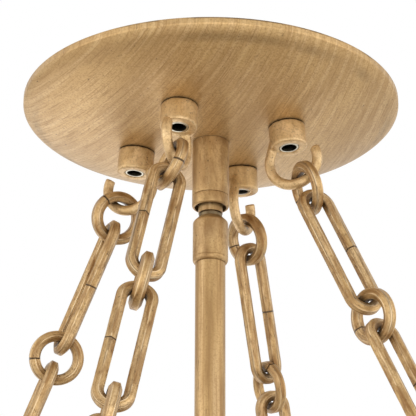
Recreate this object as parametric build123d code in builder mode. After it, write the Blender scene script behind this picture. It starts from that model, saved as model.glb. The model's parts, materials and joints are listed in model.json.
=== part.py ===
"""Drum chandelier hung on four link chains and a centre stem, sizes in millimetres.

Origin: centre of the ceiling plane. +Z is up, so the whole fixture hangs below zero.
The four hooks and chains stand on the diagonals between the X and Y axes.
"""
from build123d import *
from math import acos, asin, cos, degrees, radians, sin, sqrt
import os

# Canopy: a spun dome with a short upright wall and a rolled corner
canopy_radius = 101.6
canopy_wall = 2.2
canopy_corner = 4.0
canopy_sheet = 1.2
canopy_rim_slope = 27.0
shoulder_radius = 110.0
dome_radius = 420.0

# Threaded tubes and their nuts
tube_radius = 5.15
tube_bore = 4.1
thread_play = 0.05
nut_across_flats = 15.0
nut_height = 4.0
washer_radius = 9.0
washer_height = 1.0

# Mounting strap across the ceiling box
strap_length = 116.0
strap_width = 20.0
strap_thickness = 2.2
strap_slot_spacing = 88.9
strap_slot_length = 12.0
strap_slot_width = 4.8

# Hooks: a round boss with an open hook cast on its inner side
hook_circle = 43.5
boss_radius = 9.8
boss_height = 13.0
boss_edge = 0.7
hook_wire = 2.8
hook_bend = 13.3
hook_drop = 8.2
hook_shift = 1.4
hook_tip_angle = 22.0
hook_root_angle = 160.0
hook_root_length = 10.0
tube_recess = 0.3

# Chains: round rings and long links, bent from six-sided bar and left open at a butt seam
bar_across_flats = 5.6
ring_outside = 29.0
link_outside = 79.0
link_width = 20.5
seam_gap = 0.45
chain_lean = 24.0
rings_per_chain = 5
hook_seat_gap = 1.1
link_seat_gap = 1.3

# Each chain: its direction round the canopy, the turns of its first rings and links about the
# chain's own line, measured from the upright plane through the stem, and the last ring's turn
chains = {
    "a": (-135.0, (52.0, -44.0, 34.0, -58.0, 34.0), 60.0),
    "b": (-45.0, (-52.0, 46.0, -32.0, 57.0, -32.0), -60.0),
    "c": (135.0, (52.0, -44.0, 38.0, -52.0, 38.0), 60.0),
    "d": (45.0, (62.0, -28.0, 50.0, -40.0, 50.0), 62.0),
}

# Swivel between canopy and stem
cup_radius = 9.85
cup_bottom = -53.4
cup_thread_depth = 12.0
cup_socket = 8.2
ring_bottom = -59.8
ring_mouth = 8.4
ring_mouth_depth = 3.4
ring_seat = 6.9
ring_edge = 1.4
ball_radius = 7.7
ball_play = 0.1
neck_radius = 6.45
neck_bottom = -63.1
swivel_washer_radius = 6.2
swivel_washer_top = -64.0
coupling_top = -65.5
coupling_bottom = -91.9
coupling_radius = 9.35
coupling_chamfer = 3.0
coupling_round = 2.4
coupling_groove_height = 3.2
coupling_groove = 0.25
coupling_thread_depth = 12.5
stud_depth = 12.0

# Stem tube
stem_radius = 7.94
stem_wall = 1.6
stem_top = -79.0

# Drum frame, shade and diffuser
eye_bend = 11.0
eye_wire = 3.0
eye_seat_gap = 1.0
eye_shank = 3.0
eye_collar_radius = 7.0
eye_collar_height = 3.0
eye_nut_across_flats = 10.0
flange_inside = 13.0
flange_outside = 16.0
flange_thickness = 2.5
band_thickness = 2.5
band_height = 18.0
spider_width = 12.0
spider_hub_radius = 16.0
spider_hub_height = 14.0
drum_height = 165.0
shade_thickness = 1.6
lip_width = 14.0
lip_thickness = 2.0
diffuser_thickness = 2.5
diffuser_play = 0.5

# Lamps inside the drum
hub_radius = 20.0
hub_top = -498.0
hub_height = 24.0
hub_socket_depth = 14.0
hub_round = 3.0
arm_radius = 5.0
arm_drop = 12.0
arm_bend = 12.0
lamp_circle = 80.0
holder_base = -488.0
pan_radius = 18.0
pan_height = 5.0
pan_wall = 1.2
sleeve_radius = 12.0
sleeve_height = 34.0
socket_radius = 9.5
socket_depth = 22.0
bulb_cap_radius = 9.0
bulb_radius = 17.5
bulb_length = 58.0
bulb_neck_radius = 9.2
rod_radius = 3.0
rod_screw = 12.0
finial_radius = 11.0
finial_flange = 2.5
finial_neck = 4.8
finial_length = 16.0
finial_ball = 7.5

os.makedirs("parts", exist_ok=True)


def save(builder, name):
    """Label one finished piece and write it under its own name."""
    builder.part.label = name
    export_step(builder.part, f"parts/{name}.step")


# Where the dome's two arcs meet, from the rim inwards
rim_turn = 90.0 - canopy_rim_slope
shoulder_start = canopy_radius - canopy_corner * (1 - cos(radians(rim_turn)))
dome_half_angle = degrees(asin(
    (shoulder_start - shoulder_radius * sin(radians(canopy_rim_slope))) / (dome_radius - shoulder_radius)
))
shoulder_turn = canopy_rim_slope - dome_half_angle
corner_drop = canopy_corner * sin(radians(rim_turn))
shoulder_drop = shoulder_radius * (cos(radians(dome_half_angle)) - cos(radians(canopy_rim_slope)))
dome_drop = dome_radius * (1 - cos(radians(dome_half_angle)))
canopy_bottom = -(canopy_wall + corner_drop + shoulder_drop + dome_drop)
hook_tilt = degrees(asin(hook_circle / dome_radius))
hook_seat_z = canopy_bottom + dome_radius * (1 - cos(radians(hook_tilt)))


class HookFrame:
    """Points and directions of one hook and the chain that hangs from it."""

    def __init__(self, azimuth):
        lean = radians(chain_lean)
        up = Vector(0, 0, 1)
        self.outward = Vector(cos(radians(azimuth)), sin(radians(azimuth)), 0)
        self.sideways = up.cross(self.outward)
        self.axis_up = up * cos(radians(hook_tilt)) - self.outward * sin(radians(hook_tilt))
        self.axis_out = self.outward * cos(radians(hook_tilt)) + up * sin(radians(hook_tilt))
        self.boss_top = self.outward * hook_circle + up * hook_seat_z
        self.boss_bottom = self.boss_top - self.axis_up * boss_height
        self.bend_centre = self.boss_bottom + self.axis_out * hook_shift - self.axis_up * hook_drop
        self.down_chain = self.outward * sin(lean) - up * cos(lean)
        self.off_chain = self.outward * cos(lean) + up * sin(lean)
        self.seat = self.bend_centre + self.down_chain * hook_bend
        self.boss_plane = Plane(origin=self.boss_bottom, x_dir=self.axis_out, z_dir=self.axis_up)
        self.hook_plane = Plane(
            origin=self.boss_bottom, x_dir=self.axis_out, z_dir=self.axis_out.cross(self.axis_up)
        )


hooks = {name: HookFrame(azimuth) for name, (azimuth, first_turns, last_turn) in chains.items()}


def canopy_body(inset):
    """The canopy's full bowl from the ceiling to the dome's lowest point, moved inwards."""
    with BuildPart() as bowl:
        with BuildSketch(Plane.XZ):
            with BuildLine():
                wall = Line((canopy_radius - inset, 0), (canopy_radius - inset, -canopy_wall))
                corner = JernArc(wall @ 1, wall % 1, canopy_corner - inset, -rim_turn)
                shoulder = JernArc(corner @ 1, corner % 1, shoulder_radius - inset, -shoulder_turn)
                dome = JernArc(shoulder @ 1, shoulder % 1, dome_radius - inset, -dome_half_angle)
                Polyline(dome @ 1, (0, 0), wall @ 0)
            make_face()
        revolve(axis=Axis.Z)
    return bowl


# Canopy
with BuildPart() as canopy:
    add(canopy_body(0).part)
    add(canopy_body(canopy_sheet).part, mode=Mode.SUBTRACT)
    with BuildSketch(Plane.XY.offset(canopy_bottom)):
        Circle(tube_radius + thread_play)
    extrude(amount=canopy_sheet * 2, mode=Mode.SUBTRACT)
    for frame in hooks.values():
        with BuildSketch(Plane(origin=frame.boss_top - frame.axis_up, z_dir=frame.axis_up)):
            Circle(tube_radius + thread_play)
        extrude(amount=canopy_sheet * 3, mode=Mode.SUBTRACT)
save(canopy, "canopy")

# Mounting strap with a slot at each end for the ceiling box screws
with BuildPart() as strap:
    with BuildSketch(Plane.XY):
        SlotOverall(strap_length, strap_width)
        with GridLocations(strap_slot_spacing, 0, 2, 1):
            SlotOverall(strap_slot_length, strap_slot_width, mode=Mode.SUBTRACT)
        Circle(tube_radius + thread_play, mode=Mode.SUBTRACT)
    extrude(amount=-strap_thickness)
save(strap, "mounting_strap")


def threaded_tube(bottom, length):
    """A hollow threaded tube that stands on the given plane, with chamfered ends."""
    with BuildPart() as tube:
        with BuildSketch(bottom):
            Circle(tube_radius)
        extrude(amount=length)
        chamfer(tube.edges().filter_by(GeomType.CIRCLE), length=tube_recess)
        with BuildSketch(bottom):
            Circle(tube_bore)
        extrude(amount=length, mode=Mode.SUBTRACT)
    return tube


def hex_nut(bottom, across_flats, hole, height):
    """A plain hexagon nut on the given plane, its upper corners rounded off by a cone."""
    with BuildPart() as nut:
        with BuildSketch(bottom):
            RegularPolygon(across_flats / 2, 6, major_radius=False)
            Circle(hole, mode=Mode.SUBTRACT)
        extrude(amount=height)
    return nut


def washer(bottom, radius, hole, height):
    """A flat washer on the given plane."""
    with BuildPart() as ring:
        with BuildSketch(bottom):
            Circle(radius)
            Circle(hole, mode=Mode.SUBTRACT)
        extrude(amount=height)
    return ring


# Centre tube from the strap through the canopy into the swivel cup
centre_tube_bottom = canopy_bottom - cup_thread_depth + thread_play
save(threaded_tube(Plane.XY.offset(centre_tube_bottom), -centre_tube_bottom - tube_recess), "canopy_nipple")

def dome_rise(radius):
    """How far the dome's inner face rises from its lowest point to the given radius."""
    inner = dome_radius - canopy_sheet
    return inner - sqrt(inner ** 2 - radius ** 2)


# Two nuts on the centre tube: one under the strap, one inside the canopy
inside_nut_seat = canopy_bottom + canopy_sheet + dome_rise(nut_across_flats / sqrt(3))
with BuildPart() as centre_nuts:
    for level in (-strap_thickness - nut_height, inside_nut_seat):
        add(hex_nut(Plane.XY.offset(level), nut_across_flats, tube_radius + thread_play, nut_height).part)
save(centre_nuts, "centre_lock_nuts")


def canopy_hook(frame):
    """One hook casting: the boss, its bore and the wire that curls under and up again."""
    bend_centre = (hook_shift, -hook_drop)
    with BuildPart() as hook:
        with BuildSketch(frame.boss_plane):
            Circle(boss_radius)
        extrude(amount=boss_height)
        low_edge = hook.edges().filter_by(GeomType.CIRCLE).sort_by(Axis(frame.boss_bottom, frame.axis_up))[0]
        fillet(low_edge, radius=boss_edge)
        with BuildLine(frame.hook_plane):
            bend = CenterArc(bend_centre, hook_bend, hook_tip_angle, -(hook_tip_angle + 360 - hook_root_angle))
            root = PolarLine(bend @ 1, hook_root_length, direction=bend % 1)
        with BuildSketch(Plane(origin=bend @ 0, z_dir=bend % 0)):
            Circle(hook_wire)
        sweep()
        with Locations(root @ 1):
            Sphere(hook_wire)
        with BuildSketch(frame.boss_plane):
            Circle(tube_radius + thread_play)
        extrude(amount=boss_height, mode=Mode.SUBTRACT)
    return hook


# Hooks with their tubes, washers and nuts, one of each at every chain
with BuildPart() as canopy_hooks:
    for frame in hooks.values():
        add(canopy_hook(frame).part)
save(canopy_hooks, "canopy_hooks")

washer_seat = canopy_sheet + dome_rise(washer_radius)
with BuildPart() as hook_nipples:
    for frame in hooks.values():
        low = Plane(origin=frame.boss_bottom + frame.axis_up * tube_recess, z_dir=frame.axis_up)
        length = boss_height + washer_seat + washer_height + nut_height + tube_recess
        add(threaded_tube(low, length).part)
save(hook_nipples, "hook_nipples")

with BuildPart() as hook_nuts:
    for frame in hooks.values():
        seat = frame.boss_top + frame.axis_up * washer_seat
        add(washer(Plane(origin=seat, z_dir=frame.axis_up), washer_radius, tube_radius + thread_play,
                   washer_height).part)
        nut_seat = Plane(origin=seat + frame.axis_up * washer_height, z_dir=frame.axis_up)
        add(hex_nut(nut_seat, nut_across_flats, tube_radius + thread_play, nut_height).part)
save(hook_nuts, "hook_nuts")

# Chain sizes along the chain's line, from the hook's wire to the drum's eye
ring_line = (ring_outside - bar_across_flats) / 2
ring_hole = ring_outside / 2 - bar_across_flats
link_line = (link_width - bar_across_flats) / 2
link_straight = (link_outside - link_width) / 2
link_hole = link_outside / 2 - bar_across_flats
first_ring = ring_hole - hook_wire - hook_seat_gap
ring_to_link = ring_hole + link_hole - link_seat_gap
last_ring = ring_hole - eye_wire - eye_seat_gap
chain_length = first_ring + 2 * ring_to_link * (rings_per_chain - 1) + last_ring
seam_angle = degrees(seam_gap / ring_line)
flat_turn = 30.0


def chain_ring(centre, across, normal):
    """A round ring, open by the seam at its side."""
    start_dir = across.rotate(Axis((0, 0, 0), normal), seam_angle / 2)
    with BuildPart() as ring:
        start = Plane(origin=centre + start_dir * ring_line, x_dir=start_dir, z_dir=normal.cross(start_dir))
        with BuildSketch(start):
            RegularPolygon(bar_across_flats / 2, 6, major_radius=False, rotation=flat_turn)
        revolve(axis=Axis(centre, normal), revolution_arc=360 - seam_angle)
    return ring


def chain_link(centre, across, normal):
    """A long link with half-round ends, open by the seam in one of its straight sides."""
    side = link_line
    top = link_straight
    with BuildPart() as link:
        with BuildLine(Plane(origin=centre, x_dir=across, z_dir=normal)):
            first = Line((side, seam_gap / 2), (side, top))
            ThreePointArc((side, top), (0, top + side), (-side, top))
            Line((-side, top), (-side, -top))
            ThreePointArc((-side, -top), (0, -top - side), (side, -top))
            Line((side, -top), (side, -seam_gap / 2))
        with BuildSketch(Plane(origin=first @ 0, x_dir=across, z_dir=first % 0)):
            RegularPolygon(bar_across_flats / 2, 6, major_radius=False, rotation=flat_turn)
        sweep()
    return link


def piece_turns(first_turns, last_turn):
    """Turns of all rings and links: the given first ones, then square steps to the last ring's."""
    turns = list(first_turns)
    start = turns[-1]
    left = rings_per_chain * 2 - 1 - len(turns)
    for step in range(1, left + 1):
        square = 90 * (step % 2)
        turns.append(start + (last_turn - start) * step / left + square)
    return turns


# Chains
for name, (azimuth, first_turns, last_turn) in chains.items():
    frame = hooks[name]
    centre = frame.seat + frame.down_chain * first_ring
    for index, turn in enumerate(piece_turns(first_turns, last_turn)):
        across = frame.off_chain * cos(radians(turn)) + frame.sideways * sin(radians(turn))
        normal = across.cross(frame.down_chain * -1)
        number = index // 2 + 1
        if index % 2 == 0:
            save(chain_ring(centre, across, normal), f"chain_{name}_ring_{number}")
        else:
            save(chain_link(centre, across, normal), f"chain_{name}_link_{number}")
        centre = centre + frame.down_chain * ring_to_link

# Swivel cup, screwed on the centre tube against the canopy
with BuildPart() as swivel_cup:
    with BuildSketch(Plane.XY.offset(cup_bottom)):
        Circle(cup_radius)
    extrude(amount=canopy_bottom - cup_bottom)
    with BuildSketch(Plane.XY.offset(canopy_bottom)):
        Circle(tube_radius + thread_play)
    extrude(amount=cup_bottom - canopy_bottom, mode=Mode.SUBTRACT)
    with BuildSketch(Plane.XY.offset(cup_bottom)):
        Circle(cup_socket)
    extrude(amount=canopy_bottom - cup_bottom - cup_thread_depth, mode=Mode.SUBTRACT)
save(swivel_cup, "swivel_cup")

# Retaining ring that holds the ball in the cup, with a wide mouth below its seat
with BuildPart() as swivel_ring:
    with BuildSketch(Plane.XY.offset(ring_bottom)):
        Circle(cup_radius)
    extrude(amount=cup_bottom - ring_bottom)
    fillet(swivel_ring.edges().filter_by(GeomType.CIRCLE).sort_by(Axis.Z)[0], radius=ring_edge)
    with BuildSketch(Plane.XY.offset(ring_bottom)):
        Circle(ring_mouth)
    extrude(amount=ring_mouth_depth, mode=Mode.SUBTRACT)
    with BuildSketch(Plane.XY.offset(ring_bottom)):
        Circle(ring_seat)
    extrude(amount=cup_bottom - ring_bottom, mode=Mode.SUBTRACT)
save(swivel_ring, "swivel_ring")

# Ball, its neck and the threaded stud below
ball_centre = cup_bottom + sqrt((ball_radius + ball_play) ** 2 - ring_seat ** 2) + ball_play
with BuildPart() as swivel_ball:
    with Locations((0, 0, ball_centre)):
        Sphere(ball_radius)
    with BuildSketch(Plane.XY.offset(neck_bottom)):
        Circle(neck_radius)
    extrude(amount=ball_centre - neck_bottom)
    with BuildSketch(Plane.XY.offset(coupling_top - stud_depth)):
        Circle(tube_radius)
    extrude(amount=neck_bottom - coupling_top + stud_depth)
    with BuildSketch(Plane.XY.offset(coupling_top - stud_depth)):
        Circle(tube_bore)
    extrude(amount=ball_centre + ball_radius - coupling_top + stud_depth, mode=Mode.SUBTRACT)
save(swivel_ball, "swivel_ball")

save(
    washer(Plane.XY.offset(coupling_top), swivel_washer_radius, tube_radius + thread_play,
           swivel_washer_top - coupling_top),
    "swivel_washer",
)

# Coupling between the swivel's stud and the stem tube
with BuildPart() as stem_coupling:
    with BuildSketch(Plane.XY.offset(coupling_bottom)):
        Circle(coupling_radius)
    extrude(amount=coupling_top - coupling_bottom)
    round_edges = stem_coupling.edges().filter_by(GeomType.CIRCLE).sort_by(Axis.Z)
    fillet(round_edges[0], radius=coupling_round)
    chamfer(stem_coupling.edges().filter_by(GeomType.CIRCLE).sort_by(Axis.Z)[-1], length=coupling_chamfer)
    with BuildSketch(Plane.XZ):
        with Locations((coupling_radius, coupling_bottom + coupling_groove_height)):
            Circle(coupling_groove)
    revolve(axis=Axis.Z, mode=Mode.SUBTRACT)
    with BuildSketch(Plane.XY.offset(coupling_top)):
        Circle(tube_radius + thread_play)
    extrude(amount=-coupling_thread_depth, mode=Mode.SUBTRACT)
    with BuildSketch(Plane.XY.offset(coupling_bottom)):
        Circle(stem_radius + thread_play)
    extrude(amount=stem_top - coupling_bottom, mode=Mode.SUBTRACT)
save(stem_coupling, "stem_coupling")

# Stem tube from the coupling down into the lamp hub
stem_bottom = hub_top - hub_socket_depth
with BuildPart() as stem_tube:
    with BuildSketch(Plane.XY.offset(stem_bottom)):
        Circle(stem_radius)
        Circle(stem_radius - stem_wall, mode=Mode.SUBTRACT)
    extrude(amount=stem_top - stem_bottom)
save(stem_tube, "stem_tube")

# Levels and radii of the drum, worked out from the lower end of the chains
example_frame = hooks["d"]
eye_seat = example_frame.seat + example_frame.down_chain * chain_length
eye_centre = eye_seat + example_frame.down_chain * eye_bend
eye_circle = sqrt(eye_centre.X ** 2 + eye_centre.Y ** 2)
drum_top = eye_centre.Z - eye_bend - eye_collar_height
drum_bottom = drum_top - drum_height
drum_radius = eye_circle + flange_outside
band_inside = drum_radius - band_thickness
spider_turns = (0, 90, 180, 270)

# Top frame: flanged band, four flat arms and the hub that slides on the stem
with BuildPart() as top_frame:
    with BuildSketch(Plane.XY.offset(drum_top)):
        Circle(drum_radius)
        Circle(eye_circle - flange_inside, mode=Mode.SUBTRACT)
        for turn in spider_turns:
            with Locations(Rotation(0, 0, turn)):
                with Locations(((eye_circle - flange_inside / 2) / 2, 0)):
                    Rectangle(eye_circle - flange_inside / 2, spider_width)
    extrude(amount=-flange_thickness)
    with BuildSketch(Plane.XY.offset(drum_top)):
        Circle(drum_radius)
        Circle(band_inside, mode=Mode.SUBTRACT)
    extrude(amount=-band_height)
    with BuildSketch(Plane.XY.offset(drum_top)):
        Circle(spider_hub_radius)
    extrude(amount=-spider_hub_height)
    with BuildSketch(Plane.XY.offset(drum_top)):
        Circle(stem_radius + thread_play)
    extrude(amount=-spider_hub_height, mode=Mode.SUBTRACT)
    for frame in hooks.values():
        with BuildSketch(Plane.XY.offset(drum_top)):
            with Locations(tuple(frame.outward * eye_circle)[:2]):
                Circle(eye_shank + thread_play)
        extrude(amount=-flange_thickness, mode=Mode.SUBTRACT)
save(top_frame, "drum_top_frame")


def drum_eye(frame):
    """One closed eye on a collared shank that passes through the drum's flange."""
    stand = frame.outward * eye_circle + Vector(0, 0, drum_top)
    middle = frame.outward * eye_circle + Vector(0, 0, eye_centre.Z)
    with BuildPart() as eye:
        with BuildSketch(Plane(origin=middle, x_dir=frame.outward, z_dir=(0, 0, 1))):
            with Locations((eye_bend, 0)):
                Circle(eye_wire)
        revolve(axis=Axis(middle, frame.sideways))
        with BuildSketch(Plane(origin=stand, z_dir=(0, 0, 1))):
            Circle(eye_collar_radius)
        extrude(amount=eye_collar_height)
        with BuildSketch(Plane(origin=stand, z_dir=(0, 0, 1))):
            Circle(eye_shank)
        extrude(amount=-flange_thickness - nut_height - washer_height)
    return eye


with BuildPart() as drum_eyes:
    for frame in hooks.values():
        add(drum_eye(frame).part)
save(drum_eyes, "drum_eyes")

with BuildPart() as eye_nuts:
    for frame in hooks.values():
        seat = frame.outward * eye_circle + Vector(0, 0, drum_top - flange_thickness - nut_height)
        add(hex_nut(Plane(origin=seat, z_dir=(0, 0, 1)), eye_nut_across_flats, eye_shank + thread_play,
                    nut_height).part)
save(eye_nuts, "eye_nuts")

# Shade: one round wall held between the top frame and the bottom ring
shade_top = drum_top - flange_thickness
shade_bottom = drum_bottom + lip_thickness
with BuildPart() as drum_shade:
    with BuildSketch(Plane.XY.offset(shade_bottom)):
        Circle(band_inside)
        Circle(band_inside - shade_thickness, mode=Mode.SUBTRACT)
    extrude(amount=shade_top - shade_bottom)
save(drum_shade, "drum_shade")

# Bottom ring with the lip that the diffuser lies on
with BuildPart() as bottom_ring:
    with BuildSketch(Plane.XY.offset(drum_bottom)):
        Circle(drum_radius)
        Circle(drum_radius - lip_width, mode=Mode.SUBTRACT)
    extrude(amount=lip_thickness)
    with BuildSketch(Plane.XY.offset(drum_bottom)):
        Circle(drum_radius)
        Circle(band_inside, mode=Mode.SUBTRACT)
    extrude(amount=band_height)
save(bottom_ring, "drum_bottom_ring")

# Diffuser plate
with BuildPart() as diffuser:
    with BuildSketch(Plane.XY.offset(shade_bottom)):
        Circle(band_inside - shade_thickness - diffuser_play)
        Circle(rod_radius + thread_play, mode=Mode.SUBTRACT)
    extrude(amount=diffuser_thickness)
save(diffuser, "diffuser")

# Lamp hub on the end of the stem, with four arms that turn up to the lamp holders
hub_bottom = hub_top - hub_height
arm_level = hub_top - arm_drop
with BuildPart() as lamp_hub:
    with BuildSketch(Plane.XY.offset(hub_bottom)):
        Circle(hub_radius)
    extrude(amount=hub_height)
    fillet(lamp_hub.edges().filter_by(GeomType.CIRCLE), radius=hub_round)
    for turn in spider_turns:
        arm_plane = Plane.XZ.rotated((0, 0, turn))
        with BuildLine(arm_plane):
            arm = FilletPolyline((0, arm_level), (lamp_circle, arm_level), (lamp_circle, holder_base),
                                 radius=arm_bend)
        with BuildSketch(Plane(origin=arm @ 0, z_dir=arm % 0)):
            Circle(arm_radius)
        sweep()
    with BuildSketch(Plane.XY.offset(hub_top)):
        Circle(stem_radius + thread_play)
    extrude(amount=-hub_socket_depth, mode=Mode.SUBTRACT)
save(lamp_hub, "lamp_hub")

# Lamp holders: drip pan, sleeve and socket in one turned piece, one on each arm
holder_top = holder_base + pan_wall + sleeve_height
with BuildPart() as lamp_holders:
    with BuildSketch(Plane.XZ):
        with BuildLine():
            Polyline(
                (lamp_circle, holder_base),
                (lamp_circle + sleeve_radius, holder_base),
                (lamp_circle + pan_radius, holder_base + pan_height - pan_wall),
                (lamp_circle + pan_radius, holder_base + pan_height),
                (lamp_circle + sleeve_radius, holder_base + pan_wall),
                (lamp_circle + sleeve_radius, holder_top),
                (lamp_circle + socket_radius, holder_top),
                (lamp_circle + socket_radius, holder_top - socket_depth),
                (lamp_circle, holder_top - socket_depth),
                close=True,
            )
        make_face()
    revolve(axis=Axis((lamp_circle, 0, 0), (0, 0, 1)))
    add(lamp_holders.part, rotation=(0, 0, 180))
    add(lamp_holders.part, rotation=(0, 0, 90))
save(lamp_holders, "lamp_holders")

# Bulbs: a plain screw cap in the socket and a candle-shaped glass
bulb_low = holder_top - socket_depth
with BuildPart() as bulbs:
    with BuildSketch(Plane.XZ):
        with BuildLine():
            cap = Polyline(
                (lamp_circle, bulb_low),
                (lamp_circle + bulb_cap_radius, bulb_low),
                (lamp_circle + bulb_cap_radius, holder_top + washer_height),
                (lamp_circle + bulb_neck_radius, holder_top + washer_height),
            )
            glass = Spline(
                cap @ 1,
                (lamp_circle + bulb_radius, holder_top + bulb_length * 0.38),
                (lamp_circle, holder_top + bulb_length),
                tangents=((0.6, 1), (-1, 0.25)),
            )
            Line(glass @ 1, cap @ 0)
        make_face()
    revolve(axis=Axis((lamp_circle, 0, 0), (0, 0, 1)))
    add(bulbs.part, rotation=(0, 0, 180))
    add(bulbs.part, rotation=(0, 0, 90))
save(bulbs, "bulbs")

# Rod that carries the diffuser, and the finial screwed on its end
rod_bottom = shade_bottom - rod_screw
with BuildPart() as diffuser_rod:
    with BuildSketch(Plane.XY.offset(rod_bottom)):
        Circle(rod_radius)
    extrude(amount=hub_bottom - rod_bottom)
save(diffuser_rod, "diffuser_rod")

with BuildPart() as finial:
    with BuildSketch(Plane.XY.offset(shade_bottom)):
        Circle(finial_radius)
    extrude(amount=-finial_flange)
    with BuildSketch(Plane.XY.offset(shade_bottom)):
        Circle(finial_neck)
    extrude(amount=-finial_length)
    with Locations((0, 0, shade_bottom - finial_length)):
        Sphere(finial_ball)
    with BuildSketch(Plane.XY.offset(shade_bottom)):
        Circle(rod_radius + thread_play)
    extrude(amount=rod_bottom - shade_bottom - tube_recess, mode=Mode.SUBTRACT)
save(finial, "finial")

print("drum radius", round(drum_radius, 2), "top", round(drum_top, 2), "bottom", round(drum_bottom, 2))
print("eye circle", round(eye_circle, 2), "eye centre z", round(eye_centre.Z, 2))
print("chain length", round(chain_length, 3), "canopy bottom", round(canopy_bottom, 3))
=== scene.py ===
"""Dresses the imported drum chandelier: bent chains, turned swivel, brushed canopy, cast hooks, linen drum.

Blender works in metres in the same frame as the solids. The sizes of turned and bent pieces are written
in millimetres and multiplied by MM where they enter a mesh. Sizes in materials and lamps are in metres.
"""
import bmesh
import bpy
import json
from math import asin, atan2, cos, pi, radians, sin, tan
from mathutils import Matrix, Vector, noise


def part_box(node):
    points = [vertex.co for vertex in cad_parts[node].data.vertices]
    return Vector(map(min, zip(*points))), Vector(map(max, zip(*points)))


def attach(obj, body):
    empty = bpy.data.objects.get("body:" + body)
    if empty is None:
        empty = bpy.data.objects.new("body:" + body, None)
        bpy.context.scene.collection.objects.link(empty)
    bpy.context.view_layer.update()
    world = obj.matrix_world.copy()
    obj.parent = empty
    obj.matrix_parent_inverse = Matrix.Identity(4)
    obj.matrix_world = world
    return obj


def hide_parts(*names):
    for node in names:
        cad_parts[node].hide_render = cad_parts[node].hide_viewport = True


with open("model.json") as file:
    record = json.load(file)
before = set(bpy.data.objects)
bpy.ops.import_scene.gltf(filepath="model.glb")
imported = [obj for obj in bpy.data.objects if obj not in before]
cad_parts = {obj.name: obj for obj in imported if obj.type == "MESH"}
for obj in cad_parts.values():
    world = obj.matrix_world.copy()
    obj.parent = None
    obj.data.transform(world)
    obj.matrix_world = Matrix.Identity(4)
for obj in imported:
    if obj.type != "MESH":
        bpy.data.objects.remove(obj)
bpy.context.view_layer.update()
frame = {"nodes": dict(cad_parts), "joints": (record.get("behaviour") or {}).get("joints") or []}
nodes = frame["nodes"]
joints = {joint["name"]: joint for joint in frame["joints"]}

MM = 0.001
UP = Vector((0, 0, 1))

# Camera, found by fitting the canopy's rim, the hooks and the chains of the photo
CAMERA_DISTANCE = 1.070
CAMERA_BELOW = 26.17
CAMERA_AZIMUTH = -23.04
CAMERA_PITCH = 23.23
CAMERA_YAW = -0.08
CAMERA_ROLL = 0.21
CAMERA_FOCAL_PIXELS = 1963.0
IMAGE_PIXELS = 416
SENSOR = 36.0

# Studio
FLOOR_LEVEL = -5.0
FLOOR_RADIUS = 26.0

# Canopy, in millimetres: the wall ends in a small break, and a roll leads to the solid's two arcs
CANOPY_RADIUS = 101.6
CANOPY_SHEET = 1.2
CANOPY_BREAK = 1.6
CANOPY_BREAK_SLOPE = 50.0
CANOPY_ROLL = 12.0
SHOULDER_RADIUS = 110.0
SHOULDER_CENTRE = (49.476, 92.248)
DOME_RADIUS = 420.0
DOME_HOLE_TURN = 0.012

# Swivel, in millimetres
TUBE_RADIUS = 5.2
CUP_RADIUS = 9.85
CUP_SOCKET_RADIUS = 8.2
CUP_SOCKET_TOP = -33.8
CUP_BOTTOM = -53.4
RING_BORE = 6.9
RING_SEAT_RADIUS = 8.4
RING_SEAT = -56.4
RING_BOTTOM = -59.8
COUPLING_RADIUS = 9.35
COUPLING_TOP = -65.5
COUPLING_TOP_RADIUS = 6.35
COUPLING_SHOULDER = -68.5
COUPLING_GROOVE = -88.7
COUPLING_GROOVE_DEPTH = 0.25
COUPLING_GROOVE_HALF = 0.3
COUPLING_BOTTOM = -91.9
STEM_SOCKET_RADIUS = 8.0
STEM_SOCKET_TOP = -79.0
STEM_SOCKET_CONE = 1.0

# Chains, in millimetres and degrees: each chain's first five turns, its last turn, and its rings' seams
BAR_FLATS = 5.7
BAR_EDGE = 0.4
RING_LINE = 11.7
LINK_LINE = 7.45
LINK_STRAIGHT = 29.25
SEAM_GAP = 0.15
FIRST_RING = 5.0
CHAINS = {
    "a": ((52.0, -44.0, 34.0, -58.0, 214.0), 240.0, (330.0, 150.0, 0.0, 20.0, 200.0)),
    "b": ((-52.0, 46.0, -32.0, 57.0, -32.0), -60.0, (180.0, 180.0, 0.0, 160.0, 20.0)),
    "c": ((52.0, 136.0, 38.0, 128.0, 38.0), 60.0, (30.0, 335.0, 0.0, 190.0, 350.0)),
    "d": ((62.0, -28.0, 50.0, -40.0, 50.0), 62.0, (345.0, 117.0, 180.0, 10.0, 170.0)),
}
PIECES_PER_CHAIN = 9
EDGE_STEPS = 4
RING_STEPS = 120
LEG_STEPS = 14
BEND_STEPS = 28
WOBBLE = 0.06
WOBBLE_GRAIN = 0.35

# Hooks, in metres
MELT_VOXEL = 0.0005
SOFTEN_TIMES = 6

# Shade, in millimetres
SHADE_SHEET = 1.0
SHADE_SEGMENTS = 192

# Light
WORLD_LEVEL = 0.95
FLOOR_WHITE = 0.7


def linear(red, green, blue):
    """An sRGB colour, 0 to 255, as the linear colour that a shader takes."""
    def channel(value):
        value /= 255
        return value / 12.92 if value <= 0.04045 else ((value + 0.055) / 1.055) ** 2.4
    return (channel(red), channel(green), channel(blue), 1.0)


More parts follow.
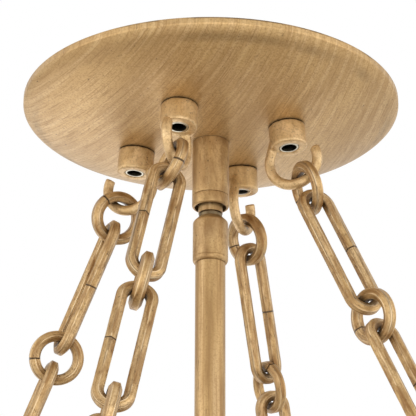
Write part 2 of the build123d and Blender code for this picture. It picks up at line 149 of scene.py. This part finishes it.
class Shader:
    """A small builder for procedural materials: each call adds a node and returns its output."""

    def __init__(self, name):
        self.material = bpy.data.materials.new(name)
        self.material.use_nodes = True
        self.tree = self.material.node_tree
        self.surface = self.tree.nodes["Principled BSDF"]

    def add(self, kind, settings=None, **inputs):
        node = self.tree.nodes.new(kind)
        for key, value in (settings or {}).items():
            setattr(node, key, value)
        for key, value in inputs.items():
            self.link(value, node.inputs[key.replace("_", " ")])
        return node

    def link(self, value, socket):
        if isinstance(value, bpy.types.NodeSocket):
            self.tree.links.new(value, socket)
        else:
            socket.default_value = value

    def position(self):
        return self.add("ShaderNodeTexCoord").outputs["Object"]

    def bar(self):
        return self.add("ShaderNodeUVMap", {"uv_map": "bar"}).outputs["UV"]

    def scaled(self, vector, scale):
        return self.add("ShaderNodeMapping", Vector=vector, Scale=scale).outputs["Vector"]

    def noise(self, vector, scale=1.0, detail=4.0, roughness=0.5, distortion=0.0):
        node = self.add("ShaderNodeTexNoise", Vector=vector, Scale=scale, Detail=detail, Roughness=roughness,
                        Distortion=distortion)
        return node.outputs["Fac"]

    def remap(self, value, low, high, to_low=0.0, to_high=1.0):
        settings = {"clamp": True, "interpolation_type": "SMOOTHSTEP"}
        node = self.add("ShaderNodeMapRange", settings, Value=value, From_Min=low, From_Max=high,
                        To_Min=to_low, To_Max=to_high)
        return node.outputs["Result"]

    def math(self, operation, first, second=0.0):
        node = self.add("ShaderNodeMath", {"operation": operation})
        self.link(first, node.inputs[0])
        self.link(second, node.inputs[1])
        return node.outputs["Value"]

    def mix(self, factor, first, second):
        node = self.add("ShaderNodeMix", {"data_type": "RGBA"})
        self.link(factor, node.inputs["Factor"])
        self.link(first, node.inputs[6])
        self.link(second, node.inputs[7])
        return node.outputs[2]

    def crevice(self, distance):
        """One in the open, falling to zero where other metal stands close by."""
        node = self.add("ShaderNodeAmbientOcclusion", {"samples": 8}, Distance=distance)
        return node.outputs["AO"]

    def bump(self, height, depth):
        node = self.add("ShaderNodeBump", Height=height, Distance=depth, Strength=1.0)
        self.link(node.outputs["Normal"], self.surface.inputs["Normal"])

    def finish(self, color, roughness, metallic=0.0):
        self.link(color, self.surface.inputs["Base Color"])
        self.link(roughness, self.surface.inputs["Roughness"])
        self.surface.inputs["Metallic"].default_value = metallic
        return self.material


# Tones of the antique brass
BRASS_EDGE = linear(228, 202, 162)
BRASS_LIGHT = linear(216, 185, 138)
BRASS_MID = linear(192, 158, 106)
BRASS_DEEP = linear(152, 117, 72)
BRASS_BROWN = linear(138, 100, 54)
BRASS_DARK = linear(66, 46, 22)
BRASS_METALLIC = 0.6
GRAIN = 900.0
BRASS_COAT = 0.1
BRASS_COAT_ROUGHNESS = 0.35


class BrassLook:
    """How one brass surface is worked: its stroke directions, patches, contrast, painted shade in its gaps,
    and relief.
    """

    def __init__(self, strokes, specks, patches, tones=(BRASS_DEEP, BRASS_MID), cloud=1.0, tone=0.5, dark=0.5,
                 spots=0.63, gap=0.006, crevice_shade=0.65, relief=0.00003, edges=None, seams=None, rim_darkening=None):
        self.strokes = strokes
        self.specks = specks
        self.patches = patches
        self.tones = tones
        self.cloud = cloud
        self.tone = tone
        self.dark = dark
        self.spots = spots
        self.gap = gap
        self.crevice_shade = crevice_shade
        self.relief = relief
        self.edges = edges
        self.seams = seams
        self.rim_darkening = rim_darkening


def antique_brass(name, look):
    """Brushed brass under a thin lacquer, with dark patina left in its strokes, and painted shade where other
    metal stands close by.
    """
    shader = Shader(name)
    fine = shader.noise(look.strokes(shader), 1.0, 5.0, 0.62)
    broad = shader.noise(look.patches(shader), 1.0, 3.0, 0.55, 0.4)
    worn = shader.noise(look.strokes(shader), 0.22, 3.0, 0.5)
    speck = shader.remap(shader.noise(look.specks(shader), 1.0, 3.0, 0.7), look.spots, look.spots + 0.10)
    base = shader.mix(shader.remap(broad, 0.34, 0.66, 1.0 - look.cloud, 1.0), *look.tones)
    base = shader.mix(shader.math("MULTIPLY", shader.remap(worn, 0.42, 0.66), look.tone), base, BRASS_LIGHT)
    base = shader.mix(shader.math("MULTIPLY", shader.remap(fine, 0.50, 0.70), look.dark), base, BRASS_DEEP)
    grain = shader.remap(shader.noise(shader.position(), GRAIN, 2.0, 0.6), 0.45, 0.65)
    base = shader.mix(shader.math("MULTIPLY", grain, look.dark * 0.6), base, BRASS_DEEP)
    base = shader.mix(shader.math("MULTIPLY", speck, look.dark), base, BRASS_DARK)
    if look.edges:
        edge = look.edges(shader)
        patchy = shader.remap(broad, 0.42, 0.64, 0.0, 0.75)
        # Dark patches beside the bars' edges: patina, and a painted dark reflection along the bars' sides.
        edge_stain_and_shade = shader.math("MULTIPLY", shader.remap(edge, 0.30, 0.75), shader.remap(worn, 0.50, 0.62))
        base = shader.mix(shader.math("MULTIPLY", edge_stain_and_shade, 0.6), base, BRASS_DARK)
        # Edges lightened in patches: rubbed wear, and a painted highlight.
        base = shader.mix(shader.math("MULTIPLY", shader.remap(edge, 0.70, 0.95), patchy), base, BRASS_EDGE)
    # A patchy dark band inside the canopy's rim, and painted shade along its top edge.
    if look.rim_darkening:
        uneven = shader.remap(broad, 0.42, 0.60, 0.05, 0.3)
        base = shader.mix(shader.math("MULTIPLY", look.rim_darkening(shader), uneven), base, BRASS_DARK)
    # Painted shade: the base falls to the dark brass tone where other metal stands close, over a broad reach
    # and a narrow one.
    for reach, strength in ((look.gap, look.crevice_shade), (look.gap / 5, 0.85)):
        open_air = shader.crevice(reach)
        base = shader.mix(shader.remap(open_air, 0.10, 0.70, strength, 0.0), base, BRASS_DARK)
    if look.seams:
        base = shader.mix(look.seams(shader), base, BRASS_DARK)
    rough = shader.math("ADD", shader.remap(fine, 0.35, 0.70, 0.0, 0.12), 0.40)
    shader.bump(shader.math("SUBTRACT", fine, speck), look.relief)
    shader.surface.inputs["Coat Weight"].default_value = BRASS_COAT
    shader.surface.inputs["Coat Roughness"].default_value = BRASS_COAT_ROUGHNESS
    return shader.finish(base, rough, BRASS_METALLIC)


# The canopy was brushed by hand: its strokes fan out from a point beside it, given in the photo's view
BRUSH_PIVOT = (0.161, -0.399)
BRUSH_REACH = 0.43


def fanned(shader):
    """Distance from the brush's pivot and, across it, distance along the arc."""
    turn = radians(CAMERA_AZIMUTH)
    pivot = Matrix.Rotation(turn, 3, "Z") @ Vector((*BRUSH_PIVOT, 0))
    offset = shader.add("ShaderNodeVectorMath", {"operation": "SUBTRACT"})
    shader.link(shader.position(), offset.inputs[0])
    shader.link(tuple(pivot), offset.inputs[1])
    turned_back = shader.add("ShaderNodeMapping", Vector=offset.outputs["Vector"], Rotation=(0, 0, -turn))
    axes = shader.add("ShaderNodeSeparateXYZ", Vector=turned_back.outputs["Vector"])
    angle = shader.math("ARCTAN2", axes.outputs["Y"], axes.outputs["X"])
    length = shader.add("ShaderNodeVectorMath", {"operation": "LENGTH"})
    shader.link(offset.outputs["Vector"], length.inputs[0])
    across = shader.math("MULTIPLY", angle, BRUSH_REACH)
    return shader.add("ShaderNodeCombineXYZ", X=length.outputs["Value"], Y=across).outputs["Vector"]


def along_fan(*scale):
    return lambda shader: shader.scaled(fanned(shader), (*scale, 1.0))


def along_bar(*scale):
    return lambda shader: shader.scaled(shader.bar(), (*scale, 1.0))


def in_place(*scale):
    return lambda shader: shader.scaled(shader.position(), scale)


def bar_edges(shader):
    """One on the bar's six edges, falling to zero in the middle of its flats."""
    sides = shader.add("ShaderNodeSeparateXYZ", Vector=shader.bar()).outputs["Y"]
    off_middle = shader.math("SUBTRACT", shader.math("FRACT", sides), 0.5)
    return shader.math("MULTIPLY", shader.math("ABSOLUTE", off_middle), 2.0)


def bar_seams(shader):
    """One beside the cut ends of a ring or link, zero elsewhere."""
    away = shader.add("ShaderNodeUVMap", {"uv_map": "seam"}).outputs["UV"]
    distance = shader.add("ShaderNodeSeparateXYZ", Vector=away).outputs["X"]
    return shader.remap(distance, 0.00015, 0.0006, 0.9, 0.0)


# A soft dark band painted just inside the canopy's rim, and painted shade along its top edge, in metres
RIM_BAND_RADIUS = 0.0955
RIM_BAND_WIDTH = 0.0045


def rim_band_and_edge_shade(shader):
    flat = shader.add("ShaderNodeVectorMath", {"operation": "MULTIPLY"})
    shader.link(shader.position(), flat.inputs[0])
    shader.link((1, 1, 0), flat.inputs[1])
    length = shader.add("ShaderNodeVectorMath", {"operation": "LENGTH"})
    shader.link(flat.outputs["Vector"], length.inputs[0])
    away = shader.math("ABSOLUTE", shader.math("SUBTRACT", length.outputs["Value"], RIM_BAND_RADIUS))
    height = shader.add("ShaderNodeSeparateXYZ", Vector=shader.position()).outputs["Z"]
    # Painted shade along the canopy's top edge.
    top = shader.remap(height, -0.0010, -0.0003, 0.0, 2.5)
    return shader.math("ADD", shader.remap(away, 0.0, RIM_BAND_WIDTH, 1.0, 0.0), top)


canopy_brass = antique_brass("canopy_brass", BrassLook(
    along_fan(50.0, 1300.0), along_fan(250.0, 700.0), along_fan(14.0, 40.0),
    cloud=0.4, tone=0.4, dark=0.85, gap=0.012, relief=0.00003, rim_darkening=rim_band_and_edge_shade))
chain_brass = antique_brass("chain_brass", BrassLook(
    along_bar(110.0, 6.0), along_bar(330.0, 4.0), along_bar(75.0, 1.1), tones=(BRASS_BROWN, BRASS_MID),
    tone=0.7, dark=0.75, spots=0.58, gap=0.008, crevice_shade=0.9, relief=0.00008, edges=bar_edges, seams=bar_seams))
turned_brass = antique_brass("turned_brass", BrassLook(
    in_place(900.0, 900.0, 26.0), in_place(600.0, 600.0, 70.0), in_place(110.0, 110.0, 16.0),
    cloud=0.9, tone=0.7, dark=0.7, gap=0.008, relief=0.00003))
swivel_brass = antique_brass("swivel_brass", BrassLook(
    in_place(620.0, 620.0, 190.0), in_place(650.0, 650.0, 380.0), in_place(95.0, 95.0, 50.0),
    cloud=1.0, tone=0.25, dark=0.8, spots=0.63, gap=0.008, crevice_shade=0.85, relief=0.00004))
band_brass = antique_brass("band_brass", BrassLook(
    in_place(22.0, 22.0, 900.0), in_place(160.0, 160.0, 600.0), in_place(12.0, 12.0, 60.0),
    cloud=0.5, tone=0.4, dark=0.8, gap=0.010, relief=0.00003))
cast_brass = antique_brass("cast_brass", BrassLook(
    in_place(260.0, 260.0, 160.0), in_place(650.0, 650.0, 650.0), in_place(90.0, 90.0, 90.0),
    tones=(BRASS_MID, BRASS_LIGHT), tone=0.6, dark=0.6, spots=0.60, gap=0.007, crevice_shade=0.8, relief=0.00010))


def dimmed(color, share):
    return tuple(value * share for value in color[:3]) + (1.0,)


def plain_metal(name, color, roughness):
    shader = Shader(name)
    place = shader.scaled(shader.position(), (300.0, 300.0, 300.0))
    tone = shader.noise(place, 1.0, 3.0)
    tinted = shader.mix(shader.remap(tone, 0.3, 0.7), color, dimmed(color, 0.8))
    return shader.finish(tinted, shader.remap(tone, 0.2, 0.8, roughness - 0.06, roughness + 0.08), 1.0)


zinc = plain_metal("zinc", linear(172, 162, 142), 0.32)
dull_zinc = plain_metal("dull_zinc", linear(128, 112, 86), 0.42)


def bored_metal(name, color, bore_shade, roughness):
    """Plated pipe whose bore is painted dark as shade, falling off where its walls close in."""
    shader = Shader(name)
    tone = shader.noise(shader.scaled(shader.position(), (300.0, 300.0, 300.0)), 1.0, 3.0)
    worn = shader.mix(shader.remap(tone, 0.3, 0.7, 0.0, 0.3), color, bore_shade)
    # Painted shade: the bore turns to the dark tone where the walls stand close.
    deep = shader.remap(shader.crevice(0.012), 0.22, 0.5)
    return shader.finish(shader.mix(deep, bore_shade, worn), roughness, 1.0)


pipe_zinc = bored_metal("pipe_zinc", linear(206, 198, 178), linear(40, 38, 22), 0.3)


def weave(name, color, thread):
    """Linen: crossed threads of uneven thickness, with bump."""
    shader = Shader(name)
    place = shader.add("ShaderNodeUVMap", {"uv_map": "cloth"}).outputs["UV"]
    uneven = shader.noise(shader.scaled(place, (60.0, 900.0, 1.0)), 1.0, 2.0)
    across = shader.noise(shader.scaled(place, (900.0, 60.0, 1.0)), 1.0, 2.0)
    warp = shader.add("ShaderNodeTexWave", {"bands_direction": "X"}, Vector=place, Scale=thread)
    weft = shader.add("ShaderNodeTexWave", {"bands_direction": "Y"}, Vector=place, Scale=thread)
    along_warp = shader.math("MULTIPLY", warp.outputs["Fac"], uneven)
    along_weft = shader.math("MULTIPLY", weft.outputs["Fac"], across)
    cloth = shader.math("ADD", along_warp, along_weft)
    pale = shader.mix(shader.remap(cloth, 0.2, 0.9), dimmed(color, 0.78), color)
    shader.bump(cloth, 0.0003)
    return shader.finish(pale, 0.85)


linen = weave("linen", linear(238, 230, 212), 260.0)


def satin(name, color, roughness, grain):
    shader = Shader(name)
    tone = shader.noise(shader.position(), grain, 3.0)
    tinted = shader.mix(shader.remap(tone, 0.3, 0.7, 0.0, 0.25), color, dimmed(color, 0.85))
    shader.bump(tone, 0.00002)
    return shader.finish(tinted, roughness)


diffuser_white = satin("diffuser_white", linear(244, 242, 236), 0.35, 300.0)
holder_ivory = satin("holder_ivory", linear(236, 226, 204), 0.5, 200.0)
bulb_frost = satin("bulb_frost", linear(246, 243, 236), 0.2, 120.0)


def new_object(name, mesh):
    piece = bpy.data.objects.new(name, mesh)
    bpy.context.scene.collection.objects.link(piece)
    return piece


def mesh_of(name, points, faces, material, smooth=True):
    mesh = bpy.data.meshes.new(name)
    mesh.from_pydata(points, [], faces)
    mesh.materials.append(material)
    for polygon in mesh.polygons:
        polygon.use_smooth = smooth
    mesh.update()
    return mesh


def rounded(corners, steps=5):
    """A profile through corners (radius, height, fillet), each corner rounded by its fillet."""
    out = []
    count = len(corners)
    for index in range(count):
        before = Vector(corners[index - 1][:2])
        here = Vector(corners[index][:2])
        after = Vector(corners[(index + 1) % count][:2])
        fillet = corners[index][2]
        if fillet == 0:
            out.append(here)
            continue
        into = (before - here).normalized()
        away = (after - here).normalized()
        half = into.angle(away) / 2
        reach = fillet / tan(half)
        centre = here + (into + away).normalized() * (fillet / sin(half))
        first = here + into * reach - centre
        last = here + away * reach - centre
        turn = atan2(first.x * last.y - first.y * last.x, first.dot(last))
        for step in range(steps + 1):
            angle = turn * step / steps
            out.append(centre + Matrix.Rotation(angle, 2) @ first)
    return out


def lathe(name, profile, material, segments=96, sharp=40.0):
    """A turned piece about the stem's axis from a closed profile of (radius, height)."""
    points, faces = [], []
    count = len(profile)
    for segment in range(segments):
        angle = 2 * pi * segment / segments
        for point in profile:
            points.append((point[0] * cos(angle) * MM, point[0] * sin(angle) * MM, point[1] * MM))
    for segment in range(segments):
        here = segment * count
        there = ((segment + 1) % segments) * count
        for index in range(count):
            following = (index + 1) % count
            faces.append((here + index, there + index, there + following, here + following))
    mesh = mesh_of(name, points, faces, material)
    made = bmesh.new()
    made.from_mesh(mesh)
    bmesh.ops.remove_doubles(made, verts=made.verts, dist=1e-6)
    bmesh.ops.recalc_face_normals(made, faces=made.faces)
    for edge in made.edges:
        if len(edge.link_faces) == 2 and edge.calc_face_angle(0) > radians(sharp):
            edge.smooth = False
    made.to_mesh(mesh)
    made.free()
    return new_object(name, mesh)


def stand_in_for(piece, node, body):
    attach(piece, body)
    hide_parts(node)
    return piece


# Canopy: the solid's shoulder and dome arcs, met by a wall with a crisp break and a short roll
def canopy_curve(inset, steps):
    """Points from the ceiling down the wall, round the break and the roll and along the dome."""
    break_turn = radians(CANOPY_BREAK_SLOPE)
    shoulder = Vector(SHOULDER_CENTRE)
    across = CANOPY_RADIUS - CANOPY_BREAK - (CANOPY_ROLL - CANOPY_BREAK) * sin(break_turn) - shoulder.x
    rim = asin(across / (SHOULDER_RADIUS - CANOPY_ROLL))
    half = asin(shoulder.x / (DOME_RADIUS - SHOULDER_RADIUS))
    roll = shoulder + Vector((sin(rim), -cos(rim))) * (SHOULDER_RADIUS - CANOPY_ROLL)
    edge = roll + Vector((sin(break_turn), -cos(break_turn))) * (CANOPY_ROLL - CANOPY_BREAK)
    dome = shoulder + Vector((sin(half), -cos(half))) * (SHOULDER_RADIUS - DOME_RADIUS)
    points = [Vector((CANOPY_RADIUS - inset, 0))]
    for centre, radius, first, last, count in (
        (edge, CANOPY_BREAK, pi / 2, break_turn, 6),
        (roll, CANOPY_ROLL, break_turn, rim, 6),
        (shoulder, SHOULDER_RADIUS, rim, half, 14),
        (dome, DOME_RADIUS, half, DOME_HOLE_TURN, steps),
    ):
        for step in range(count + 1):
            angle = first + (last - first) * step / count
            points.append(centre + Vector((sin(angle), -cos(angle))) * (radius - inset))
    return points


outer_curve = canopy_curve(0, 20)
inner_curve = canopy_curve(CANOPY_SHEET, 20)
canopy_piece = lathe("canopy_shell", outer_curve + inner_curve[::-1], canopy_brass, 256, 50.0)
stand_in_for(canopy_piece, "canopy", "canopy_side")

# Swivel cup, ring and coupling, turned from the photo's profile
CANOPY_MIDDLE = min(point.y for point in outer_curve)
cup = rounded([
    (TUBE_RADIUS, CANOPY_MIDDLE, 0), (CUP_RADIUS, CANOPY_MIDDLE, 0), (CUP_RADIUS, CUP_BOTTOM, 0.5),
    (CUP_SOCKET_RADIUS, CUP_BOTTOM, 0.2), (CUP_SOCKET_RADIUS, CUP_SOCKET_TOP, 0),
    (TUBE_RADIUS, CUP_SOCKET_TOP, 0),
])
cup_piece = lathe("swivel_cup_turned", cup, swivel_brass)
stand_in_for(cup_piece, "swivel_cup", "canopy_side")
ring = rounded([
    (RING_BORE, CUP_BOTTOM, 0), (CUP_RADIUS, CUP_BOTTOM, 0.5), (CUP_RADIUS, RING_BOTTOM, 1.3),
    (RING_SEAT_RADIUS, RING_BOTTOM, 0.35), (RING_SEAT_RADIUS, RING_SEAT, 0.3),
    (RING_BORE, RING_SEAT, 0.2),
])
ring_piece = lathe("swivel_ring_turned", ring, swivel_brass)
stand_in_for(ring_piece, "swivel_ring", "canopy_side")
coupling = rounded([
    (TUBE_RADIUS, COUPLING_TOP, 0.2), (COUPLING_TOP_RADIUS, COUPLING_TOP, 0.4),
    (COUPLING_RADIUS, COUPLING_SHOULDER, 2.2),
    (COUPLING_RADIUS, COUPLING_GROOVE + COUPLING_GROOVE_HALF, 0.15),
    (COUPLING_RADIUS - COUPLING_GROOVE_DEPTH, COUPLING_GROOVE, 0.1),
    (COUPLING_RADIUS, COUPLING_GROOVE - COUPLING_GROOVE_HALF, 0.15),
    (COUPLING_RADIUS, COUPLING_BOTTOM, 2.3), (STEM_SOCKET_RADIUS, COUPLING_BOTTOM, 0.2),
    (STEM_SOCKET_RADIUS, STEM_SOCKET_TOP, 0), (TUBE_RADIUS, STEM_SOCKET_TOP + STEM_SOCKET_CONE, 0),
])
coupling_piece = lathe("stem_coupling_turned", coupling, swivel_brass)
stand_in_for(coupling_piece, "stem_coupling", "drum_side")


# Chains
def bar_section():
    """The bar's six-sided section with worn edges, as (towards the outside, along the normal)."""
    radius = BAR_FLATS / 2 / cos(radians(30))
    corners = []
    for index in range(6):
        angle = radians(60 * index)
        corners.append((radius * sin(angle), radius * cos(angle), BAR_EDGE))
    return rounded(corners, EDGE_STEPS)


def ring_path(seam):
    """Places round a ring from one side of its seam to the other, as (place, outward direction)."""
    gap = SEAM_GAP / RING_LINE / 2
    path = []
    for step in range(RING_STEPS + 1):
        angle = radians(seam) + gap + (2 * pi - 2 * gap) * step / RING_STEPS
        outward = Vector((cos(angle), sin(angle)))
        path.append((outward * RING_LINE, outward))
    return path


def link_path():
    """Places round a link from its seam up one leg, round both ends and back."""
    path = []
    half_gap = SEAM_GAP / 2

    def leg(side, first, last, steps, count):
        for step in range(count):
            height = first + (last - first) * step / steps
            path.append((Vector((side * LINK_LINE, height)), Vector((side, 0))))

    def bend(height, first):
        for step in range(BEND_STEPS):
            angle = first + pi * step / BEND_STEPS
            outward = Vector((cos(angle), sin(angle)))
            path.append((Vector((0, height)) + outward * LINK_LINE, outward))

    leg(1, half_gap, LINK_STRAIGHT, LEG_STEPS, LEG_STEPS)
    bend(LINK_STRAIGHT, 0)
    leg(-1, LINK_STRAIGHT, -LINK_STRAIGHT, 2 * LEG_STEPS, 2 * LEG_STEPS)
    bend(-LINK_STRAIGHT, pi)
    leg(1, -LINK_STRAIGHT, -half_gap, LEG_STEPS, LEG_STEPS + 1)
    return path


SECTION = bar_section()
LINK_PATH = link_path()


def bent_bar(name, path, centre, across, along, seed):
    """A ring or link bent from the bar: swept along its path, closed by a flat cut at each end."""
    normal = across.cross(along)
    count = len(SECTION)
    half_round = EDGE_STEPS / 2 * (SECTION[1] - SECTION[0]).length
    flat = (SECTION[EDGE_STEPS + 1] - SECTION[EDGE_STEPS]).length
    girth = [0.0]
    for index in range(count):
        girth.append(girth[-1] + (SECTION[(index + 1) % count] - SECTION[index]).length)
    sides = [(length - half_round) / (2 * half_round + flat) for length in girth]
    points, lengths = [], [0.0]
    for step, (place, outward) in enumerate(path):
        if step:
            lengths.append(lengths[-1] + (place - path[step - 1][0]).length)
        for offset in SECTION:
            spread = place + outward * offset.x
            spot = across * spread.x + along * spread.y + normal * offset.y
            wobble = noise.noise(spot * WOBBLE_GRAIN + Vector((seed, seed * 0.37, 0))) * WOBBLE
            lump = (across * outward.x + along * outward.y) * offset.x + normal * offset.y
            points.append((centre + (spot + lump.normalized() * wobble) * MM))
    faces, places = [], []
    for step in range(len(path) - 1):
        here = step * count
        there = here + count
        for index in range(count):
            following = (index + 1) % count
            faces.append((here + index, here + following, there + following, there + index))
            places.append(((step, index), (step, index + 1), (step + 1, index + 1), (step + 1, index)))
    mesh = mesh_of(name, points, faces, chain_brass)
    bar_layer = mesh.uv_layers.new(name="bar")
    seam_layer = mesh.uv_layers.new(name="seam")
    for polygon, corners in zip(mesh.polygons, places):
        for loop, (step, index) in zip(polygon.loop_indices, corners):
            bar_layer.data[loop].uv = ((lengths[step] + seed * 100) * MM, sides[index] + seed * 12)
            seam_layer.data[loop].uv = (min(lengths[step], lengths[-1] - lengths[step]) * MM, 0)
    made = bmesh.new()
    made.from_mesh(mesh)
    made.verts.ensure_lookup_table()
    bar_uv = made.loops.layers.uv["bar"]
    seam_uv = made.loops.layers.uv["seam"]
    last = (len(path) - 1) * count
    for ring_start, flip in ((0, True), (last, False)):
        loop = [made.verts[ring_start + index] for index in range(count)]
        cap = made.faces.new(loop[::-1] if flip else loop)
        cap.smooth = False
        for corner in cap.loops:
            corner[bar_uv].uv = (seed, seed)
            corner[seam_uv].uv = (0, 0)
        for edge in cap.edges:
            edge.smooth = False
    bmesh.ops.recalc_face_normals(made, faces=made.faces)
    made.to_mesh(mesh)
    made.free()
    return new_object(name, mesh)


def piece_turns(first_turns, last_turn):
    """Turns of all rings and links: the given first ones, then square steps to the last ring's."""
    turns = list(first_turns)
    start = turns[-1]
    left = PIECES_PER_CHAIN - len(turns)
    for step in range(1, left + 1):
        turns.append(start + (last_turn - start) * step / left + 90 * (step % 2))
    return turns


for letter, (first_turns, last_turn, seams) in CHAINS.items():
    swing = joints[f"chain_{letter}_swing"]
    seat = Vector(swing["pos_m"])
    off_chain = Vector(swing["axis"])
    down_chain = Vector(joints[f"chain_{letter}_link_1_twist"]["axis"])
    sideways = off_chain.cross(down_chain)
    for index, turn in enumerate(piece_turns(first_turns, last_turn)):
        kind = "link" if index % 2 else "ring"
        node = f"chain_{letter}_{kind}_{index // 2 + 1}"
        if index:
            centre = Vector(joints[f"{node}_twist"]["pos_m"])
        else:
            centre = seat + down_chain * FIRST_RING * MM
        across = off_chain * cos(radians(turn)) + sideways * sin(radians(turn))
        path = LINK_PATH if kind == "link" else ring_path(seams[index // 2])
        seed = index + 10.0 * (ord(letter) - ord("a"))
        piece = bent_bar(f"{node}_bar", path, centre, across, -down_chain, seed)
        stand_in_for(piece, node, node)


# Hooks: the castings keep the solids' place and get the soft inner corners of cast metal
def cast_hooks():
    source = nodes["canopy_hooks"]
    mesh = source.data.copy()
    mesh.materials.clear()
    mesh.materials.append(cast_brass)
    piece = new_object("canopy_hook_castings", mesh)
    remesh = piece.modifiers.new("melt", "REMESH")
    remesh.mode = "VOXEL"
    remesh.voxel_size = MELT_VOXEL
    remesh.use_smooth_shade = True
    smooth = piece.modifiers.new("soften", "CORRECTIVE_SMOOTH")
    smooth.iterations = SOFTEN_TIMES
    smooth.use_only_smooth = True
    depsgraph = bpy.context.evaluated_depsgraph_get()
    baked = bpy.data.meshes.new_from_object(piece.evaluated_get(depsgraph))
    piece.modifiers.clear()
    piece.data = baked
    return piece


stand_in_for(cast_hooks(), "canopy_hooks", "canopy_side")

# Solids that keep their own shape and take a better material
KEPT = {
    "mounting_strap": zinc, "canopy_nipple": zinc, "centre_lock_nuts": zinc, "hook_nipples": pipe_zinc,
    "hook_nuts": zinc, "swivel_washer": dull_zinc, "swivel_ball": turned_brass, "stem_tube": turned_brass,
    "drum_top_frame": band_brass, "drum_eyes": cast_brass, "eye_nuts": zinc, "drum_bottom_ring": band_brass,
    "diffuser": diffuser_white, "lamp_hub": turned_brass, "lamp_holders": holder_ivory, "bulbs": bulb_frost,
    "diffuser_rod": zinc, "finial": turned_brass,
}
for node, material in KEPT.items():
    mesh = nodes[node].data
    mesh.materials.clear()
    mesh.materials.append(material)

# Shade: a linen cylinder between the two metal bands
shade_low, shade_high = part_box("drum_shade")
SHADE_RADIUS = shade_high.x / MM


def shade_piece():
    profile = [
        (SHADE_RADIUS, shade_low.z / MM), (SHADE_RADIUS, shade_high.z / MM),
        (SHADE_RADIUS - SHADE_SHEET, shade_high.z / MM), (SHADE_RADIUS - SHADE_SHEET, shade_low.z / MM),
    ]
    piece = lathe("drum_shade_linen", profile, linen, SHADE_SEGMENTS)
    layer = piece.data.uv_layers.new(name="cloth")
    for polygon in piece.data.polygons:
        middle = polygon.center
        for loop in polygon.loop_indices:
            spot = piece.data.vertices[piece.data.loops[loop].vertex_index].co
            angle = atan2(spot.y, spot.x)
            if angle - atan2(middle.y, middle.x) > pi:
                angle -= 2 * pi
            if angle - atan2(middle.y, middle.x) < -pi:
                angle += 2 * pi
            layer.data[loop].uv = (angle * SHADE_RADIUS * MM, spot.z)
    return piece


shade = stand_in_for(shade_piece(), "drum_shade", "drum_side")

# Floor and world: white behind the object and in reflections, a plain level on matt surfaces
def seen_directly(tree):
    """One for rays from the camera and in reflections or glass, zero for light that the surface gives."""
    kinds = tree.nodes.new("ShaderNodeLightPath")
    seen = kinds.outputs["Is Camera Ray"]
    for kind in ("Is Glossy Ray", "Is Transmission Ray"):
        either = tree.nodes.new("ShaderNodeMath")
        either.operation = "MAXIMUM"
        tree.links.new(seen, either.inputs[0])
        tree.links.new(kinds.outputs[kind], either.inputs[1])
        seen = either.outputs["Value"]
    return seen


def floor_material():
    shader = Shader("floor")
    tone = shader.noise(shader.position(), 0.6, 2.0)
    color = shader.mix(shader.remap(tone, 0.3, 0.7), linear(240, 238, 234), linear(244, 242, 239))
    shader.finish(color, 0.8)
    glow = shader.add("ShaderNodeEmission", Strength=1.0)
    share = shader.math("MULTIPLY", seen_directly(shader.tree), FLOOR_WHITE)
    both = shader.add("ShaderNodeMixShader")
    shader.link(share, both.inputs[0])
    shader.link(shader.surface.outputs["BSDF"], both.inputs[1])
    shader.link(glow.outputs["Emission"], both.inputs[2])
    shader.link(both.outputs["Shader"], shader.tree.nodes["Material Output"].inputs["Surface"])
    return shader.material


bpy.ops.mesh.primitive_circle_add(vertices=96, radius=FLOOR_RADIUS, fill_type="NGON",
                                  location=(0, 0, FLOOR_LEVEL))
floor = bpy.context.object
floor.name = "floor"
floor.data.materials.append(floor_material())

world = bpy.data.worlds.new("studio")
bpy.context.scene.world = world
world.use_nodes = True
background = world.node_tree.nodes["Background"]
level = world.node_tree.nodes.new("ShaderNodeMapRange")
level.inputs["To Min"].default_value = WORLD_LEVEL
level.inputs["To Max"].default_value = 1.0
world.node_tree.links.new(seen_directly(world.node_tree), level.inputs["Value"])
world.node_tree.links.new(level.outputs["Result"], background.inputs["Strength"])
background.inputs["Color"].default_value = (1, 1, 1, 1)


def turned(vector):
    """A direction given in the camera's frame, turned into the object's."""
    return Matrix.Rotation(radians(CAMERA_AZIMUTH), 3, "Z") @ Vector(vector)


def soft_light(name, place, target, size, power):
    """A square lamp, its place in the camera's frame, its target in the object's, both in metres."""
    data = bpy.data.lights.new(name, "AREA")
    data.size = size
    data.energy = power
    lamp = bpy.data.objects.new(name, data)
    bpy.context.scene.collection.objects.link(lamp)
    lamp.location = turned(place)
    direction = Vector(target) - lamp.location
    lamp.rotation_euler = direction.to_track_quat("-Z", "Y").to_euler()


soft_light("left", (-2.0, -0.9, 0.0), (0, 0, -0.15), 1.8, 14.0)
soft_light("right", (2.0, -0.8, 0.0), (0, 0, -0.15), 1.8, 13.0)
soft_light("front", (0.1, -1.7, -0.7), (0, 0, -0.15), 1.6, 12.0)
soft_light("under", (-0.6, 1.7, -1.1), (0, 0, -0.05), 1.8, 9.0)

# Camera
below = radians(CAMERA_BELOW)
place = Vector((0, -CAMERA_DISTANCE * cos(below), -CAMERA_DISTANCE * sin(below)))
pitch = radians(CAMERA_PITCH)
yaw = radians(CAMERA_YAW)
forward = Vector((sin(yaw) * cos(pitch), cos(yaw) * cos(pitch), sin(pitch)))
right = forward.cross(UP).normalized()
upward = right.cross(forward)
roll = radians(CAMERA_ROLL)
camera_right = right * cos(roll) + upward * sin(roll)
camera_up = upward * cos(roll) - right * sin(roll)
turn = Matrix.Rotation(radians(CAMERA_AZIMUTH), 4, "Z")
axes = Matrix((camera_right, camera_up, -forward)).transposed().to_4x4()
camera_data = bpy.data.cameras.new("camera")
camera_data.sensor_fit = "HORIZONTAL"
camera_data.sensor_width = SENSOR
camera_data.lens = SENSOR * CAMERA_FOCAL_PIXELS / IMAGE_PIXELS
camera_data.clip_start = 0.05
camera_data.clip_end = 50
camera = bpy.data.objects.new("camera", camera_data)
bpy.context.scene.collection.objects.link(camera)
camera.matrix_world = turn @ Matrix.Translation(place) @ axes
bpy.context.scene.camera = camera
bpy.context.scene.view_settings.view_transform = "Standard"
